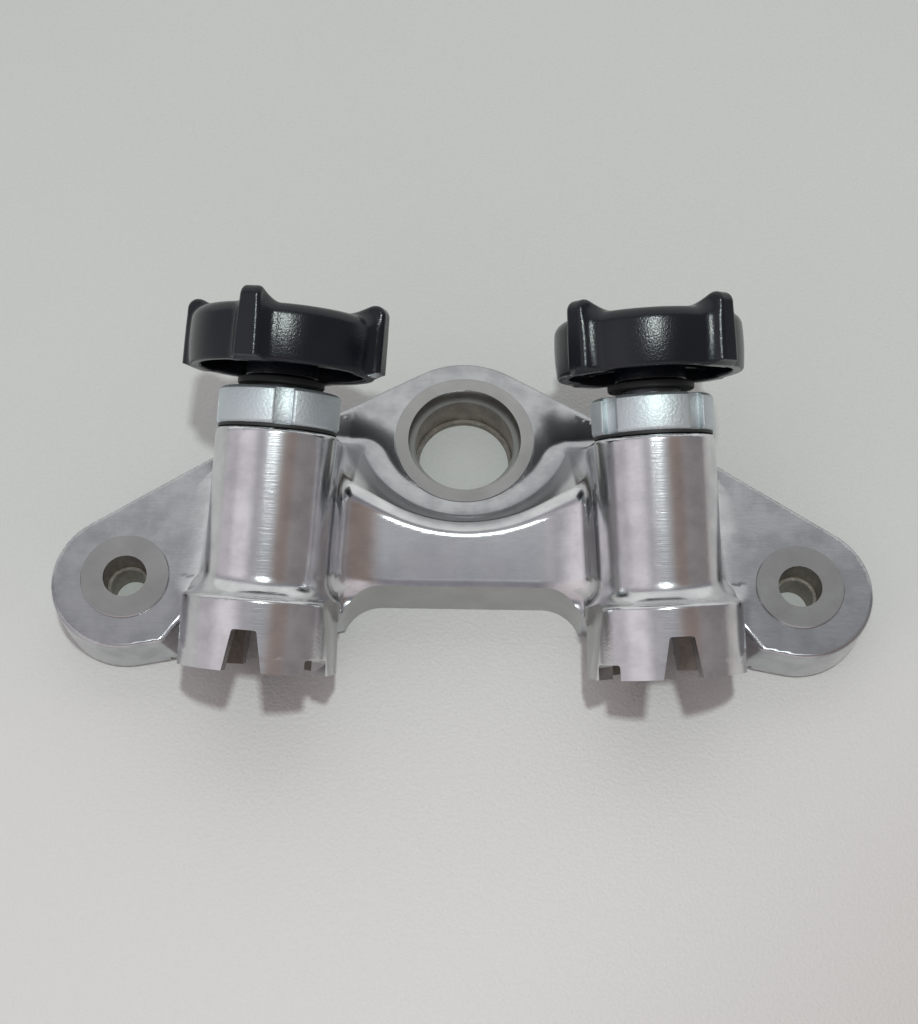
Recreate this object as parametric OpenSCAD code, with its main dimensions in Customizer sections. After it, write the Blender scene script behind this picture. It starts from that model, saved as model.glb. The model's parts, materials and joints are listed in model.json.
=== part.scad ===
// Upper fork bridge for a small motorcycle with folding handlebars.
// It lies as it rests on a bench: the flat machined underside is on Z = 0, the
// steering stem bore is on the Z axis and the two clamp knobs point to +Y and up.

/* [Fork and stem] */
// Distance between the two fork bolt bores
fork_spacing = 160; // [140:1:190]
// How far the fork bores lie in front of the stem bore
fork_setback = 38.1; // [34:0.1:44]
// Radius of the fork bolt bore at the top
fork_bore_r = 5.2; // [4.9:0.1:6.5]
// Radius of the fork bolt bore below its step
fork_bore_low_r = 4.4; // [3.5:0.1:4.6]
// Depth of the step in the fork bolt bore
fork_bore_step = 7; // [4:0.5:10]
// Radius of the machined ring round each fork bore
fork_boss_r = 10.5; // [8:0.1:13]
// Height of the fork bosses above the lug
fork_boss_h = 0.5; // [0.2:0.1:1.5]
// Radius of the steering stem bore
stem_bore_r = 12.2; // [12:0.1:13]
// Radius of the lip at the bottom of the stem bore
stem_lip_r = 11.3; // [9:0.1:11.8]
// Height of the lip at the bottom of the stem bore
stem_lip_h = 1.5; // [0.8:0.1:3]
// Radial width of the lead-in cone of the stem bore
stem_cone_w = 1.7; // [0.5:0.1:2.5]
// Depth of the lead-in cone of the stem bore
stem_cone_h = 3.2; // [1:0.1:4]
// Radius of the machined ring round the stem bore
stem_boss_r = 17.2; // [16:0.1:19]
// Height of the stem boss above the dish floor
stem_boss_h = 0.8; // [0.3:0.1:1.5]

/* [Casting] */
// Thickness of the plate at the lugs
plate_t = 14; // [11:0.5:16]
// Radius of the rounded end of each lug
lug_r = 17.2; // [15:0.1:20]
// Chamfer that breaks the upper edge of the plate
edge_break = 1.5; // [0.5:0.1:2.5]
// How far the dish floor lies below the lug tops
dish_drop = 0.9; // [0.3:0.1:2]
// Radius of the dish floor in front of the stem
dish_floor_r = 24.2; // [22:0.1:27]
// How far the centre of the dish lies behind the stem
dish_back = 4.9; // [2:0.1:8]
// Radius of the rear edge round the stem
rear_r = 22.4; // [21:0.1:25]
// Distance of the machined front face from the stem
front_face = 39.5; // [36:0.1:43]
// Height of the bridge at the machined front face
bridge_front_h = 14.4; // [11:0.1:17]
// Half width of the flat middle of the bridge
bridge_flat = 17; // [10:0.5:22]
// Radius of the milled corners of the front notch
notch_corner_r = 9.5; // [6:0.5:12]
// Lean of the milled flats on the inner sides of the skirts
flat_lean = 6; // [3:0.5:9]
// Height of the hollow in which the bridge rises to each barrel
bridge_rise = 3.2; // [2:0.1:5]
// Radius of the hollow between each barrel and the lug
side_fillet = 7; // [2:0.5:9]
// How far outside each socket the scoop in the lug's front corner starts
scoop_out = 23; // [21:0.5:25]
// Distance of that scoop's corner in front of the fork holes
scoop_front = 16.2; // [12:0.1:18]
// Turn of that scoop in plan
scoop_turn = 33.5; // [25:0.5:40]
// Lean of that scoop from upright
scoop_lean = 11.6; // [5:0.2:18]

/* [Handlebar sockets] */
// Distance between the two socket mouths
socket_spacing = 93.9; // [88:0.1:100]
// Distance of the socket mouths in front of the stem
socket_front = 61.8; // [58:0.1:66]
// Height of the centre of the socket mouths
socket_height = 17.3; // [17.2:0.1:20]
// Upward tilt of the sockets towards the knobs
socket_tilt = 22.7; // [20:0.1:26]
// Inward lean of the sockets towards the knobs
socket_toe = 4.1; // [0:0.1:6]
// Outer radius of the slotted skirt
skirt_r = 18.2; // [17:0.1:19]
// Length of the slotted skirt
skirt_len = 15.5; // [13:0.1:18]
// Outer radius of the barrel behind the skirt
barrel_r = 14; // [13:0.1:15]
// Length of the whole socket from mouth to rear face
socket_len = 54.6; // [50:0.1:58]
// Length of the hollow that runs from the skirt into the barrel
flare_len = 5.5; // [3:0.1:8]
// Radius of the socket bore inside the skirt
collar_bore_r = 14; // [12:0.1:14.5]
// Depth of the socket bore inside the skirt
collar_depth = 13; // [11:0.5:15]
// Radius of the bore through the barrel
bar_bore_r = 10.6; // [9:0.1:10.8]
// Width of the wide slot at its mouth
slot_mouth_w = 9; // [7:0.1:11]
// Width of the wide slot at its end
slot_end_w = 5.8; // [4:0.1:7]
// Depth of the wide slot and the lower slot
slot_depth = 9.3; // [7:0.1:11]
// Width of the narrow slot
notch_slot_w = 7; // [5:0.1:8]
// Depth of the narrow slot
notch_slot_depth = 3.45; // [2:0.05:5]
// Width of the lower slot
lower_slot_w = 10.4; // [8:0.1:12]
// Outward turn of the wide slot from the top of the socket
slot_turn = 3.4; // [0:0.1:8]
// Inward turn of the narrow slot from the top of the socket
notch_slot_turn = 53.5; // [45:0.5:62]

/* [Ring nuts] */
// Outer radius of the ring nut
nut_r = 14.1; // [13:0.1:15]
// Height of the ring nut above the washer
nut_h = 8.5; // [6:0.1:10]
// Radius of the spigot that screws into the barrel
spigot_r = 11.4; // [11.1:0.1:12]
// Length of that spigot, counted from the barrel's end
spigot_len = 8; // [6:0.1:10]
// Width of each spanner notch
nut_notch_w = 4.2; // [3:0.1:5]
// Depth of each spanner notch
nut_notch_d = 1.6; // [1:0.1:2.2]
// Chamfer at both rims of the ring nut
nut_chamfer = 0.7; // [0.3:0.1:1.2]
// Thickness of the black seal washer under the nut
seal_t = 0.6; // [0.5:0.1:1.5]
// Outer radius of the seal washer
seal_r = 13.6; // [12.5:0.1:14]
// Play between the spigot and the threads of the barrel
thread_play = 0.05; // [0.02:0.01:0.1]
// Thickness of the rubber ring inside the nut
o_ring_t = 1.6; // [1.2:0.1:2]

/* [Clamp bolts] */
// Radius of the shoulder that turns in the ring nut
shoulder_r = 6.75; // [6:0.05:7.5]
// Running play of the shoulder in the ring nut
shoulder_play = 0.08; // [0.04:0.01:0.1]
// Radius of the threaded shank
shank_r = 4; // [3:0.5:5]
// Place of the shank's tip, counted from the socket mouth
shank_tip = 14; // [12:0.5:24]
// How far the knob can slide between its two stops
knob_travel = 2.1; // [1.5:0.1:3]
// Gap between the left nut and its thrust washer as shown
gap_left = 1.1; // [0.4:0.1:1.4]
// Gap between the right nut and its thrust washer as shown
gap_right = 1.6; // [0.4:0.1:1.7]
// Thickness of the thrust washer under the knob
thrust_t = 1.8; // [1:0.1:2.5]
// Outer radius of the thrust washer
thrust_r = 10; // [9:0.1:11]
// Thickness of the stop washer behind the retaining ring
stop_t = 1.5; // [1:0.1:2]
// Radial gap between the stop washer and the bore of the barrel
stop_gap = 1; // [0.4:0.1:1.5]
// Thickness of the retaining ring
clip_t = 1.2; // [0.8:0.1:1.5]
// Outer radius of the retaining ring
clip_r = 8.4; // [7.8:0.1:8.6]
// Radius of the bolt's head, which is moulded into the knob
insert_r = 5.6; // [5:0.1:6.5]
// Length of the bolt's head
insert_len = 9.4; // [7:0.1:10]

/* [Knobs] */
// Radius of the round body of the knob
knob_r = 21.5; // [19:0.1:24]
// Radius at the tips of the four wings
wing_r = 24.2; // [22:0.1:26]
// Height of the round body
knob_h = 11.9; // [10:0.1:14]
// Height of the wings
wing_h = 15; // [13:0.1:17]
// Width of each wing
wing_w = 5.6; // [4:0.1:8]
// Distance from the thrust washer's front face to the knob's rim
knob_lift = 4.6; // [3.5:0.1:6]
// Wall of the moulded knob
knob_wall = 2.6; // [1.8:0.1:3.5]
// Radius of the hub inside the knob
hub_r = 8.2; // [7.5:0.1:9]
// Thickness of the ribs inside the knob
rib_t = 1.6; // [1:0.1:2.5]
// Turn of the left knob as shown
turn_left = -13; // [-45:1:45]
// Turn of the right knob as shown
turn_right = 39; // [-45:1:45]
// Turn of the left ring nut as tightened
nut_turn_left = 12; // [-45:1:45]
// Turn of the right ring nut as tightened
nut_turn_right = 37; // [-45:1:45]

/* [Hidden] */
$fn = 96;
eps = 0.01;
reach = 200;
LEFT = -1;
RIGHT = 1;

// Least distance of the bridge's rear end from the ends of the barrels
bridge_back = 0.3;

// Heights that several pieces share
floor_z = plate_t - dish_drop;
stem_top = floor_z + stem_boss_h;
fork_top = plate_t + fork_boss_h;

// Places along a socket axis, counted from its mouth
nut_front = socket_len + seal_t;
nut_rear = nut_front + nut_h;
spigot_front = socket_len - spigot_len;
thread_bore_r = spigot_r + thread_play;
nut_bore_r = shoulder_r + shoulder_play;
o_ring_at = (nut_front + nut_rear) / 2;
o_ring_seat_r = nut_bore_r + o_ring_t + 0.05;
stop_clearance = 0.1;
stop_r = bar_bore_r - stop_gap;

function gap(side) = side == LEFT ? gap_left : gap_right;
function knob_turn(side) = side == LEFT ? turn_left : turn_right;
function nut_turn(side) = side == LEFT ? nut_turn_left : nut_turn_right;
// Front face of the thrust washer
function seat(side) = nut_rear + gap(side);
// Rear face of the stop washer, which meets the spigot when the knob is drawn out
function stop_face(side) = spigot_front - (knob_travel - gap(side)) - stop_clearance;

// A socket's own frame: Z runs from its mouth to the knob, Y points down, X to the right
module at_socket(side) {
    translate([side * socket_spacing / 2, -socket_front, socket_height])
        rotate([0, 0, side * socket_toe])
            rotate([socket_tilt - 90, 0, 0])
                children();
}

// Turns a piece so that its +X faces a given angle from the top of the socket
module facing(angle) {
    rotate([0, 0, angle - 90]) children();
}

module ring(outer, inner, height) {
    difference() {
        cylinder(r = outer, h = height);
        translate([0, 0, -eps]) cylinder(r = inner, h = height + 2 * eps);
    }
}

// Centre of the rounded end of each lug
lug_x = fork_spacing / 2 + 0.2;
lug_y = -fork_setback - 0.6;
// Slopes of the plate's edges in plan: behind the stem, behind each lug and in front of it
rear_slope = 28.6;
wing_slope = 34.5;
front_slope = 11;
notch_x = socket_spacing / 2 - skirt_r;
// Plan points where the plate passes under each socket
web_rear_x = socket_spacing / 2 + 10;
web_rear_y = -2.8;
web_inner_x = socket_spacing / 2 - 3;
under_skirt_y = -(socket_front - 13);

function arc(centre, radius, from, to, steps) =
    [for (i = [0 : steps]) let (a = from + (to - from) * i / steps) centre + radius * [cos(a), sin(a)]];
function flipped(points) = [for (i = [len(points) - 1 : -1 : 0]) [-points[i][0], points[i][1]]];

// Plan of one wing, from its foot under the socket to the rounded lug
function wing_plan_points(inset) = concat(
    arc([lug_x, lug_y], lug_r - inset, -90 - front_slope, 90 - wing_slope, 22),
    [[web_rear_x - 0.6 * inset, web_rear_y - inset], [web_inner_x, web_rear_y + 4.8 - inset],
        [web_inner_x - 10, web_rear_y - 5], [web_inner_x - 10, under_skirt_y + inset]]);

// Plan of the right half of the middle, round the stem
function middle_plan_points(inset) = let (tip = arc([0, 0], rear_r - inset, 90 - rear_slope, 90, 8))
    concat(
        [[web_inner_x, under_skirt_y],
            [web_inner_x, tip[0][1] - (web_inner_x - tip[0][0]) * tan(rear_slope)]],
        tip);

// A plate with a chamfer along its upper edge; its plan has no hollow corner
module chamfered(low, high) {
    hull() {
        linear_extrude(plate_t - edge_break) polygon(low);
        linear_extrude(plate_t) polygon(high);
    }
}

// The scoop between the front corner of a lug and its skirt
module side_scoop() {
    translate([socket_spacing / 2 + scoop_out, -fork_setback - scoop_front, plate_t])
        rotate([0, 0, 180 + scoop_turn])
            rotate([0, -scoop_lean, 0])
                translate([0, -10, -30]) cube([6, 40, 60]);
}

module plate() {
    for (side = [0, 1])
        mirror([side, 0, 0])
            difference() {
                chamfered(wing_plan_points(0), wing_plan_points(edge_break));
                side_scoop();
            }
    chamfered(
        concat(middle_plan_points(0), flipped(middle_plan_points(0))),
        concat(middle_plan_points(edge_break), flipped(middle_plan_points(edge_break))));
}

// The long body of each socket: slotted skirt, hollow flare and barrel
module socket_body() {
    flare_steps = 6;
    rise = skirt_r - 0.6 - barrel_r;
    flare_start = skirt_len + 0.5;
    rotate_extrude()
        polygon(concat(
            [[0, 0], [skirt_r - 0.5, 0], [skirt_r, 0.5], [skirt_r, skirt_len - 0.4], [skirt_r - 0.6, flare_start]],
            [for (i = [1 : flare_steps])
                [barrel_r + rise * (1 - sin(90 * i / flare_steps)), flare_start + flare_len * (1 - cos(90 * i / flare_steps))]],
            [[barrel_r, socket_len - 1], [barrel_r - 0.3, socket_len - 0.3], [barrel_r - 1, socket_len], [0, socket_len]]
        ));
}

// The web that carries the barrel down to the plate
module socket_web() {
    translate([-barrel_r + 0.4, 0, skirt_len + 2])
        cube([2 * barrel_r - 0.8, reach, socket_len - skirt_len - 2.3]);
}

// Room in front of the plate's rear edge, which keeps the webs, their hollows and the bridge inside it
module rear_limit() {
    inset = 0.4;
    tip = arc([0, 0], rear_r - inset, 90 - rear_slope, 90, 8);
    half = concat(
        [[web_rear_x + reach, -reach], [web_rear_x + reach, web_rear_y - inset - reach * tan(wing_slope)],
            [web_rear_x, web_rear_y - inset]],
        tip);
    linear_extrude(reach) polygon(concat(half, flipped(half)));
}

// The sloping bridge between the two barrels, with a hollow rising to each; it ends with the barrels
module bridge() {
    end_y = -socket_front + socket_len * cos(socket_toe) * cos(socket_tilt);
    end_z = socket_height + socket_len * sin(socket_tilt);
    length = (end_y + front_face) * cos(socket_tilt) + (end_z - bridge_front_h) * sin(socket_tilt)
        - barrel_r * sin(socket_toe) - bridge_back;
    below = 10;
    wall_x = socket_spacing / 2 - 2;
    rise_start = bridge_flat;
    rise_end = socket_spacing / 2 - barrel_r - 3.5;
    steps = 8;
    rise = [for (i = [0 : steps])
        [rise_start + (rise_end - rise_start) * i / steps, bridge_rise * pow(i / steps, 2)]];
    half = concat(rise, [[rise_end + 2.2, bridge_rise + 3.5], [wall_x, bridge_rise + 5], [wall_x, -reach]]);
    translate([0, -front_face, bridge_front_h])
        rotate([socket_tilt - 90, 0, 0])
            mirror([0, 1, 0])
                translate([0, 0, -below])
                    linear_extrude(length + below) polygon(concat(half, flipped(half)));
}

// The hollow along the outer foot of each barrel
module side_hollow(side) {
    wall_x = barrel_r - 1;
    translate([side * socket_spacing / 2, -socket_front, 0])
        rotate([0, 0, side * socket_toe])
            mirror([side == LEFT ? 1 : 0, 0, 0])
                translate([wall_x, socket_len * cos(socket_tilt) + 3, plate_t - 0.5])
                    rotate([90, 0, 0])
                        linear_extrude(socket_len * cos(socket_tilt) - 8)
                            difference() {
                                square(side_fillet + 1.5);
                                translate([side_fillet + 1.5, side_fillet + 0.5]) circle(r = side_fillet);
                            }
}

// The round dish in front of the stem and the flat floor behind the barrels
module dish_cut() {
    cone_h = 30;
    translate([0, dish_back, floor_z])
        cylinder(r1 = dish_floor_r, r2 = dish_floor_r + cone_h, h = cone_h);
    translate([-socket_spacing / 2 - 8, 0, floor_z])
        cube([socket_spacing + 16, 40, cone_h]);
}

// The milled notch in front of the bridge
module notch_cut() {
    half_w = notch_x;
    corner_x = half_w - notch_corner_r;
    translate([0, 0, -1])
        linear_extrude(60) {
            translate([-corner_x, -reach]) square([2 * corner_x, reach - front_face]);
            translate([-half_w, -reach]) square([2 * half_w, reach - front_face - notch_corner_r]);
            for (side = [LEFT, RIGHT])
                translate([side * corner_x, -front_face - notch_corner_r]) circle(r = notch_corner_r);
        }
    for (side = [0, 1])
        mirror([side, 0, 0])
            translate([notch_x + 0.8, -reach - front_face - notch_corner_r, socket_height])
                rotate([0, flat_lean, 0])
                    translate([-8, 0, -30]) cube([8, reach, 60]);
}

// A slot in the skirt, cut from its mouth
module skirt_slot(angle, mouth_w, end_w, depth) {
    facing(angle)
        translate([collar_bore_r / 2, 0, 0])
            rotate([90, 0, 90])
                linear_extrude(skirt_r)
                    polygon([[-mouth_w / 2 - 0.2, -1], [mouth_w / 2 + 0.2, -1], [end_w / 2, depth - 0.6],
                        [end_w / 2 - 0.6, depth], [-end_w / 2 + 0.6, depth], [-end_w / 2, depth - 0.6]]);
}

module socket_cuts(side) {
    translate([0, 0, -1]) cylinder(r = collar_bore_r, h = collar_depth + 1);
    translate([0, 0, 1]) cylinder(r = bar_bore_r, h = socket_len);
    translate([0, 0, spigot_front - 1]) cylinder(r = thread_bore_r, h = spigot_len + 2);
    skirt_slot(side * slot_turn, slot_mouth_w, slot_end_w, slot_depth);
    skirt_slot(-side * notch_slot_turn, notch_slot_w, notch_slot_w, notch_slot_depth);
    skirt_slot(180, lower_slot_w, lower_slot_w, slot_depth);
}

module fork_bore(side) {
    translate([side * fork_spacing / 2, -fork_setback, 0]) {
        translate([0, 0, fork_top - fork_bore_step]) cylinder(r = fork_bore_r, h = reach);
        translate([0, 0, -1]) cylinder(r = fork_bore_low_r, h = reach);
    }
}

module stem_bore() {
    translate([0, 0, stem_lip_h]) cylinder(r = stem_bore_r, h = reach);
    translate([0, 0, -1]) cylinder(r = stem_lip_r, h = reach);
    translate([0, 0, stem_top - stem_cone_h])
        cylinder(r1 = stem_bore_r, r2 = stem_bore_r + stem_cone_w * 1.5, h = stem_cone_h * 1.5);
}

module clamp_body() {
    color([0.78, 0.79, 0.80])
        difference() {
            union() {
                difference() {
                    union() {
                        plate();
                        intersection() {
                            union() {
                                for (side = [LEFT, RIGHT]) {
                                    at_socket(side) socket_web();
                                    side_hollow(side);
                                }
                                bridge();
                            }
                            rear_limit();
                        }
                    }
                    dish_cut();
                    translate([-reach, -reach, -reach]) cube([2 * reach, 2 * reach, reach]);
                }
                for (side = [LEFT, RIGHT]) {
                    at_socket(side) socket_body();
                    translate([side * fork_spacing / 2, -fork_setback, 1]) cylinder(r = fork_boss_r, h = fork_top - 1);
                }
                translate([0, 0, 1]) cylinder(r = stem_boss_r, h = stem_top - 1);
            }
            notch_cut();
            stem_bore();
            for (side = [LEFT, RIGHT]) {
                fork_bore(side);
                at_socket(side) socket_cuts(side);
            }
        }
}

module seal_washer(side) {
    color([0.05, 0.05, 0.05])
        at_socket(side)
            translate([0, 0, socket_len]) ring(seal_r, spigot_r + 0.1, seal_t);
}

module ring_nut(side) {
    color([0.72, 0.76, 0.80])
        at_socket(side)
            difference() {
                rotate_extrude()
                    polygon([
                        [nut_bore_r, spigot_front], [spigot_r, spigot_front], [spigot_r, nut_front],
                        [nut_r - nut_chamfer, nut_front], [nut_r, nut_front + nut_chamfer],
                        [nut_r, nut_rear - nut_chamfer], [nut_r - nut_chamfer, nut_rear],
                        [nut_bore_r + 0.4, nut_rear], [nut_bore_r, nut_rear - 0.4],
                        [nut_bore_r, o_ring_at + o_ring_t / 2], [o_ring_seat_r, o_ring_at + o_ring_t / 2],
                        [o_ring_seat_r, o_ring_at - o_ring_t / 2], [nut_bore_r, o_ring_at - o_ring_t / 2]]);
                for (i = [0 : 3])
                    facing(nut_turn(side) + 90 * i)
                        translate([nut_r - nut_notch_d, -nut_notch_w / 2, nut_front - eps])
                            cube([nut_notch_d + 2, nut_notch_w, nut_h + 2 * eps]);
            }
}

module o_ring(side) {
    radius = (o_ring_t - 0.1) / 2;
    color([0.04, 0.04, 0.04])
        at_socket(side)
            translate([0, 0, o_ring_at])
                rotate_extrude()
                    translate([nut_bore_r + radius, 0]) circle(r = radius, $fn = 32);
}

module thrust_washer(side) {
    color([0.06, 0.06, 0.06])
        at_socket(side)
            translate([0, 0, seat(side)])
                rotate_extrude()
                    polygon([[shoulder_r + 0.1, 0], [thrust_r - 0.3, 0], [thrust_r, 0.3],
                        [thrust_r, thrust_t - 0.3], [thrust_r - 0.3, thrust_t], [shoulder_r + 0.1, thrust_t]]);
}

module clamp_bolt(side) {
    hub_face = seat(side) + thrust_t;
    clip_front = stop_face(side) - stop_t - clip_t;
    shoulder_front = clip_front - 1.5;
    groove_r = shoulder_r - 0.75;
    color([0.45, 0.46, 0.48])
        at_socket(side)
            rotate_extrude()
                polygon([
                    [0, shank_tip], [shank_r - 0.8, shank_tip], [shank_r, shank_tip + 0.8], [shank_r, shoulder_front],
                    [shoulder_r - 0.4, shoulder_front], [shoulder_r, shoulder_front + 0.4],
                    [shoulder_r, clip_front - 0.05], [groove_r, clip_front - 0.05],
                    [groove_r, clip_front + clip_t], [shoulder_r, clip_front + clip_t],
                    [shoulder_r, hub_face], [insert_r, hub_face], [insert_r, hub_face + insert_len],
                    [0, hub_face + insert_len]]);
}

module stop_washer(side) {
    color([0.6, 0.6, 0.62])
        at_socket(side)
            translate([0, 0, stop_face(side) - stop_t]) ring(stop_r, shoulder_r + 0.1, stop_t);
}

module retaining_ring(side) {
    opening = 50;
    color([0.25, 0.25, 0.27])
        at_socket(side)
            translate([0, 0, stop_face(side) - stop_t - clip_t])
                facing(opening / 2)
                    rotate_extrude(angle = 360 - opening)
                        translate([shoulder_r - 0.7, 0]) square([clip_r - shoulder_r + 0.7, clip_t - 0.05]);
}

// Section of the knob's round body, counted from the thrust washer's rear face
module knob_body_section() {
    rim = knob_lift - thrust_t;
    top = rim + knob_h;
    roof = top - knob_wall;
    difference() {
        polygon([
            [0, 0], [hub_r, 0], [hub_r, rim + 1], [knob_r - knob_wall, rim + 1], [knob_r - knob_wall, rim + 0.6],
            [knob_r - 2, rim], [knob_r - 1, rim], [knob_r - 0.3, rim + 0.5], [knob_r, rim + 1.4],
            [knob_r + 0.2, rim + knob_h / 2], [knob_r, top - 2.8], [knob_r - 0.6, top - 1.4],
            [knob_r - 1.8, top - 0.4], [knob_r - 3.4, top], [hub_r, top + 0.5], [0, top + 0.6]]);
        polygon([[hub_r, rim], [knob_r - knob_wall, rim], [knob_r - knob_wall, roof - 1.5],
            [knob_r - knob_wall - 1.5, roof], [hub_r, roof]]);
    }
}

// Section of a wing: it stands above the body at the rim and falls to it inwards
module wing_section() {
    rim = knob_lift - thrust_t;
    tip = rim + wing_h;
    top = rim + knob_h;
    polygon([
        [knob_r - 1.6, rim + 0.8], [wing_r - 1, rim + 0.3], [wing_r - 0.3, rim + 0.8], [wing_r, rim + 1.8],
        [wing_r, tip - 2], [wing_r - 0.6, tip - 0.7], [wing_r - 1.8, tip], [wing_r - 3.6, tip - 0.2],
        [wing_r - 6, tip - 1.4], [wing_r - 8.5, top + 0.6], [wing_r - 11, top - 0.4], [wing_r - 11, top - 1.2],
        [knob_r - 1.6, top - 2.8]]);
}

module knob(side) {
    rim = knob_lift - thrust_t;
    color([0.07, 0.07, 0.08])
        at_socket(side)
            translate([0, 0, seat(side) + thrust_t])
                facing(knob_turn(side))
                    difference() {
                        union() {
                            rotate_extrude() knob_body_section();
                            intersection() {
                                rotate_extrude() wing_section();
                                for (i = [0 : 3])
                                    rotate([0, 0, 90 * i])
                                        linear_extrude(reach) wing_plan();
                            }
                            for (i = [0 : 7])
                                rotate([0, 0, 45 * i])
                                    translate([hub_r - 0.5, -rib_t / 2, rim + 1.4])
                                        cube([knob_r - knob_wall - hub_r + 1, rib_t, knob_h - knob_wall - 1.2]);
                        }
                        translate([0, 0, -eps]) cylinder(r = insert_r + 0.01, h = insert_len + 0.02);
                    }
}

// Plan of one wing: a bar with rounded corners
module wing_plan() {
    corner = 1.4;
    translate([0, -wing_w / 2 + corner]) square([wing_r + 1, wing_w - 2 * corner]);
    translate([0, -wing_w / 2]) square([wing_r - corner, wing_w]);
    for (edge = [-1, 1])
        translate([wing_r - corner, edge * (wing_w / 2 - corner)]) circle(r = corner, $fn = 32);
}

clamp_body();
knob(LEFT);  // left_knob
clamp_bolt(LEFT);  // left_clamp_bolt
thrust_washer(LEFT);  // left_thrust_washer
ring_nut(LEFT);  // left_ring_nut
seal_washer(LEFT);  // left_seal_washer
o_ring(LEFT);  // left_o_ring
stop_washer(LEFT);  // left_stop_washer
retaining_ring(LEFT);  // left_retaining_ring
knob(RIGHT);  // right_knob
clamp_bolt(RIGHT);  // right_clamp_bolt
thrust_washer(RIGHT);  // right_thrust_washer
ring_nut(RIGHT);  // right_ring_nut
seal_washer(RIGHT);  // right_seal_washer
o_ring(RIGHT);  // right_o_ring
stop_washer(RIGHT);  // right_stop_washer
retaining_ring(RIGHT);  // right_retaining_ring
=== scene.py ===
# %% [markdown]
# # Upper fork bridge with two handlebar sockets
# The part is a polished aluminium casting that holds the tops of two fork tubes and the steering
# stem. It carries two slotted sockets for folding handlebars, and each socket is closed by a
# zinc plated ring nut and a moulded hand knob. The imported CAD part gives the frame, with every
# size and place. This notebook dresses it for a picture: it makes the cast and moulded forms
# anew with their soft edges, keeps the turned parts, and gives every part its finish.

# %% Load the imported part
import json
import math

import bpy
import numpy as np
from mathutils import Matrix

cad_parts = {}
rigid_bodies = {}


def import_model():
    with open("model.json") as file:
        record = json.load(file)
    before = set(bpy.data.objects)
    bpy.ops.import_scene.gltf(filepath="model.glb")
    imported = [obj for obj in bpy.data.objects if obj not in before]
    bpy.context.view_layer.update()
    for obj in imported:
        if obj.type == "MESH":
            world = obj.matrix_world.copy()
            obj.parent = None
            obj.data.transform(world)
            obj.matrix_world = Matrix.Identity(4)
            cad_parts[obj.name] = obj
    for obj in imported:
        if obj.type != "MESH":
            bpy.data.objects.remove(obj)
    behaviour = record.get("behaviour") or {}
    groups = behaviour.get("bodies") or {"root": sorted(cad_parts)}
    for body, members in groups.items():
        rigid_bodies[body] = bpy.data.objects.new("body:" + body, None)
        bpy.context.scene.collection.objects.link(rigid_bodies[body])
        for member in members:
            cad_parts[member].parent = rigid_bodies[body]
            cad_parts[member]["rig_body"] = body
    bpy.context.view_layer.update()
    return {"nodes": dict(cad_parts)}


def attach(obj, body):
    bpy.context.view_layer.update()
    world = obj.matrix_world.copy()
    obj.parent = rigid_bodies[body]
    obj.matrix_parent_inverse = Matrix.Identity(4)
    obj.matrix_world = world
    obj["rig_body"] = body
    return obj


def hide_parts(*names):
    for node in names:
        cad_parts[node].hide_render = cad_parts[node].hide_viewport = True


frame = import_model()
print("CAD nodes:", len(frame["nodes"]))

# %% [markdown]
# ## Distances instead of faces
# A casting has no sharp inner corner, because metal flows round each one. The form could be
# built from faces and bevels, but bevels break down where several soft joins run into one
# another, as they do at the foot of each socket. A signed distance, negative inside the metal,
# has no such trouble: two forms are joined by a formula that also lays a fillet between them.

# %% Joining and cutting with a radius
def join(a, b, radius):
    """Both forms together: the larger of the radius and the nearer distance, less the length
    of the two amounts by which the distances fall short of the radius."""
    u, v = np.maximum(radius - a, 0), np.maximum(radius - b, 0)
    return np.maximum(radius, np.minimum(a, b)) - np.sqrt(u * u + v * v)


def cut(a, b, radius):
    """What both forms share, with the edge between them rounded: a join turned inside out."""
    return -join(-a, -b, radius)


def ease(amount, t):
    """Rises from 0 to the amount with no kink: the amount times t squared times (3 - 2t)."""
    return amount * t * t * (3 - 2 * t)


def slopes(degrees):
    """Sine and cosine of an angle."""
    return math.sin(math.radians(degrees)), math.cos(math.radians(degrees))


print("a 3 mm fillet buries a square corner by", round(-float(join(0.0, 0.0, 3.0)), 2), "mm")

# %% [markdown]
# ## The frame of a socket
# Each socket starts at its mouth and rises towards its knob. It could be made upright and then
# turned into place, but the soft joins need every form in one space. So three directions go with
# it: across to the outer side, up from the barrel, and along its axis. Both sides are mirror
# images, so the casting is worked out for the right side and read by the distance from the middle.

# %% Socket directions, in millimetres
TILT, TOE = math.radians(22.7), math.radians(4.1)
MOUTH = np.array([46.95, -61.8, 17.3])
ALONG = np.array([-math.sin(TOE) * math.cos(TILT), math.cos(TOE) * math.cos(TILT), math.sin(TILT)])
ACROSS = np.array([math.cos(TOE), math.sin(TOE), 0.0])
ABOVE = np.cross(ACROSS, ALONG)
SIDE = {"left": -1, "right": 1}


def socket_matrix(side):
    """Columns across, above and along for one side, and the mouth's centre."""
    flip = np.array([SIDE[side], 1, 1])
    return np.stack([ACROSS * flip, ABOVE * flip, ALONG * flip], 1), MOUTH * flip


print("socket axis", ALONG.round(4))

# %% [markdown]
# ## The plate seen from above
# The plate has a rounded lug for each fork tube and a round middle for the stem, with straight
# edges between them. It could be drawn as a curve and extruded. Here the same circles and lines
# are written as distances, because a soft join has to know how far each point is from the edge.

# %% Outline of the plate
REAR, FRONT, MIDDLE, LINK = slopes(33.36), slopes(11), slopes(28.6), slopes(20.3)
LUG_AT, LUG_RADIUS = (80.2, -38.7), 17.2
LINK_AT = (56.95, -2.8)
MIDDLE_RADIUS = 22.4


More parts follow.
